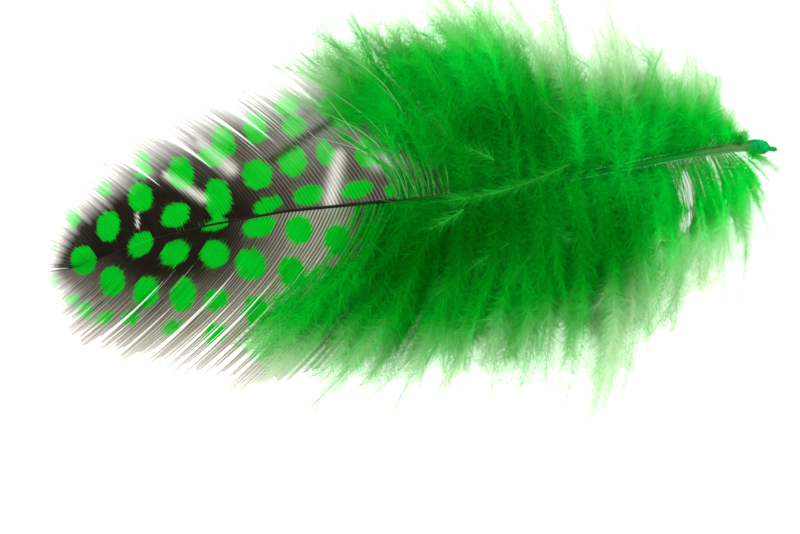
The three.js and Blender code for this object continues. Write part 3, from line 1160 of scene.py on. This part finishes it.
def ribs(material):
    """The pale ridges along both flanks of the bare quill, where its barbs spring."""
    bits = Bits(["black", "horn", "nub", "rib", "spot"])
    along = np.linspace(RIB_START, RIB_END, RIB_STEPS)
    across, height, radius = row_at(SHAFT, along)
    taper = np.sqrt(np.sin(np.linspace(0, math.pi, RIB_STEPS)))
    for hand in (1, -1):
        beside = TIP_Y + across + hand * radius * RIB_OUT
        points = np.stack([TIP_X + along, beside, height + radius * RIB_UP], 1)
        directions = unit(np.gradient(points, axis=0))
        tube(
            bits, points, directions, RIB_RADIUS * taper + RIB_THINNEST, RIB_SIDES,
            black=0.0, horn=0.0, nub=0.0, rib=1.0, spot=0.0,
        )
    piece = bits.make("quill_ribs", material)


def new_material(name):
    material = bpy.data.materials.new(name)
    material.use_nodes = True
    material.node_tree.nodes.clear()
    return material, material.node_tree.nodes, material.node_tree.links


def attribute(nodes, name):
    node = nodes.new("ShaderNodeAttribute")
    node.attribute_name = name
    return node.outputs["Fac"]


def mix_colour(nodes, links, factor, low, high):
    node = nodes.new("ShaderNodeMix")
    node.data_type = "RGBA"
    for socket, value in ((node.inputs[0], factor), (node.inputs[6], low), (node.inputs[7], high)):
        if isinstance(value, bpy.types.NodeSocket):
            links.new(value, socket)
        else:
            socket.default_value = value
    return node.outputs[2]


def map_range(nodes, links, value, low, high, to_low, to_high):
    node = nodes.new("ShaderNodeMapRange")
    links.new(value, node.inputs[0])
    for socket, number in zip(node.inputs[1:5], (low, high, to_low, to_high)):
        socket.default_value = number
    return node.outputs[0]


def ramp(nodes, links, value, stops):
    """Colours that blend from one stop to the next, each stop a place and a colour."""
    node = nodes.new("ShaderNodeValToRGB")
    steps = node.color_ramp.elements
    steps[0].position, steps[0].color = stops[0]
    steps[1].position, steps[1].color = stops[-1]
    for place, colour in stops[1:-1]:
        steps.new(place).color = colour
    links.new(value, node.inputs[0])
    return node.outputs[0]


def multiply(nodes, links, first, second):
    node = nodes.new("ShaderNodeMath")
    node.operation = "MULTIPLY"
    links.new(first, node.inputs[0])
    links.new(second, node.inputs[1])
    return node.outputs[0]


def noise(nodes, links, scale):
    where = nodes.new("ShaderNodeTexCoord")
    node = nodes.new("ShaderNodeTexNoise")
    node.inputs["Scale"].default_value = scale
    node.inputs["Detail"].default_value = NOISE_DETAIL
    links.new(where.outputs["Object"], node.inputs["Vector"])
    return node.outputs["Fac"]


def mottled(nodes, links, colours):
    """A colour that wanders from one to another, in patches of a scale."""
    scale, low, high = colours
    return mix_colour(nodes, links, noise(nodes, links, scale), low, high)


def thin_shader(nodes, links, colour, finish):
    """Thin keratin: part of the light goes through, part comes back."""
    through, roughness = finish
    front = nodes.new("ShaderNodeBsdfPrincipled")
    front.inputs["Roughness"].default_value = roughness
    front.inputs["Specular IOR Level"].default_value = KERATIN_SPECULAR
    back = nodes.new("ShaderNodeBsdfTranslucent")
    mixed = nodes.new("ShaderNodeMixShader")
    mixed.inputs[0].default_value = through
    out = nodes.new("ShaderNodeOutputMaterial")
    links.new(colour, front.inputs["Base Color"])
    links.new(colour, back.inputs["Color"])
    links.new(front.outputs[0], mixed.inputs[1])
    links.new(back.outputs[0], mixed.inputs[2])
    links.new(mixed.outputs[0], out.inputs["Surface"])


def vane_material():
    """Near-black barbs with a lighter web, a pale rim, green spots and a painted shadow along a
    fold's edge.
    """
    material, nodes, links = new_material("vane_barbs")
    pale = attribute(nodes, "pale")
    dark = mottled(nodes, links, BLACKISH)
    tan = mottled(nodes, links, TAN)
    between = multiply(nodes, links, attribute(nodes, "web"), attribute(nodes, "light"))
    brown = mix_colour(nodes, links, between, dark, tan)
    pale_mix = mix_colour(nodes, links, pale, brown, FADED_RIM)
    dyed = mix_colour(nodes, links, attribute(nodes, "dye"), pale_mix, VANE_DYE)
    green = mottled(nodes, links, SPOT_GREEN)
    spot = mix_colour(nodes, links, pale, green, FADED_SPOT)
    marked = mix_colour(nodes, links, attribute(nodes, "spot"), dyed, spot)
    # Painted shadow darkens the colour along a fold's edge
    fold = map_range(nodes, links, attribute(nodes, "fold"), 0.0, 1.0, 0.0, FOLD_SHADOW_STRENGTH)
    colour = mix_colour(nodes, links, fold, marked, FOLD_SHADOW_COLOUR)
    thin_shader(nodes, links, colour, VANE_FINISH)
    return material


def down_material():
    """Green from deep to bright with the tone, which holds painted shade and light, and pale in the
    fringe, where the paleness is painted light.
    """
    material, nodes, links = new_material("down_barbs")
    tone = map_range(nodes, links, attribute(nodes, "tone"), -1.0, 1.0, 0.0, 1.0)
    green = ramp(nodes, links, tone, DOWN_GREENS)
    colour = mix_colour(nodes, links, attribute(nodes, "pale"), green, PALE_DOWN_AND_PAINTED_LIGHT)
    thin_shader(nodes, links, colour, DOWN_FINISH)
    return material


def shaft_material():
    """Black, then dyed green, then bare horn, with a patchy nub and pale ribs."""
    material, nodes, links = new_material("horny_shaft")
    black = mottled(nodes, links, SHAFT_BLACK)
    dyed = mottled(nodes, links, SHAFT_GREEN)
    horn = mix_colour(nodes, links, attribute(nodes, "horn"), dyed, HORN)
    scale, deep, bright = NUB_GREEN
    patchy = map_range(nodes, links, noise(nodes, links, scale), *NUB_PATCHES, 0.0, 1.0)
    nub = mix_colour(nodes, links, patchy, deep, bright)
    quill = mix_colour(nodes, links, attribute(nodes, "nub"), horn, nub)
    ribbed = mix_colour(nodes, links, attribute(nodes, "rib"), quill, RIB_GREEN)
    whole = mix_colour(nodes, links, attribute(nodes, "black"), ribbed, black)
    colour = mix_colour(nodes, links, attribute(nodes, "spot"), whole, SHAFT_SPOT)
    thin_shader(nodes, links, colour, SHAFT_FINISH)
    return material


def floor():
    """A plain pale surface that glows a little, as if lit from below."""
    bpy.ops.mesh.primitive_plane_add(size=FLOOR_SIZE, location=(0, 0, 0))
    surface = bpy.context.object
    surface.name = "floor"
    material, nodes, links = new_material("pale_floor")
    face = nodes.new("ShaderNodeBsdfPrincipled")
    face.inputs["Base Color"].default_value = FLOOR_COLOUR
    face.inputs["Roughness"].default_value = FLOOR_ROUGHNESS
    face.inputs["Emission Color"].default_value = WHITE
    face.inputs["Emission Strength"].default_value = FLOOR_GLOW
    out = nodes.new("ShaderNodeOutputMaterial")
    links.new(face.outputs[0], out.inputs["Surface"])
    surface.data.materials.append(material)


def lights():
    """A white sky and two soft lamps that point at the feather."""
    world = bpy.data.worlds.new("studio")
    world.use_nodes = True
    sky = world.node_tree.nodes["Background"]
    sky.inputs["Color"].default_value = WHITE
    sky.inputs["Strength"].default_value = SKY_STRENGTH
    bpy.context.scene.world = world
    for name, place, size, power in LAMPS:
        lamp = bpy.data.lights.new(name, "AREA")
        lamp.size = size
        lamp.energy = power
        holder = bpy.data.objects.new(name, lamp)
        holder.location = place
        holder.rotation_euler = (-Vector(place)).to_track_quat("-Z", "Y").to_euler()
        bpy.context.collection.objects.link(holder)


def camera():
    """A long lens straight above the feather."""
    data = bpy.data.cameras.new("camera")
    data.lens = LENS
    data.sensor_width = SENSOR
    data.clip_start = NEAREST_SEEN * MM
    holder = bpy.data.objects.new("camera", data)
    distance = VIEW_WIDTH / SENSOR * LENS
    holder.location = (VIEW_CENTRE[0] * MM, VIEW_CENTRE[1] * MM, (VIEW_HEIGHT + distance) * MM)
    holder.rotation_euler = (0, 0, math.radians(VIEW_TURN))
    bpy.context.collection.objects.link(holder)
    bpy.context.scene.camera = holder


camera()
lights()
floor()
bpy.context.scene.view_settings.view_transform = "Standard"

horny = shaft_material()
shaft(horny)
ribs(horny)
barbs_of_vane = vane_material()
for side in SIDES.values():
    vane(side, barbs_of_vane)
barbs_of_down = down_material()
for level in range(len(DOWN_LAYERS)):
    for side in SIDES.values():
        down(side, level, barbs_of_down)
strands(barbs_of_down)
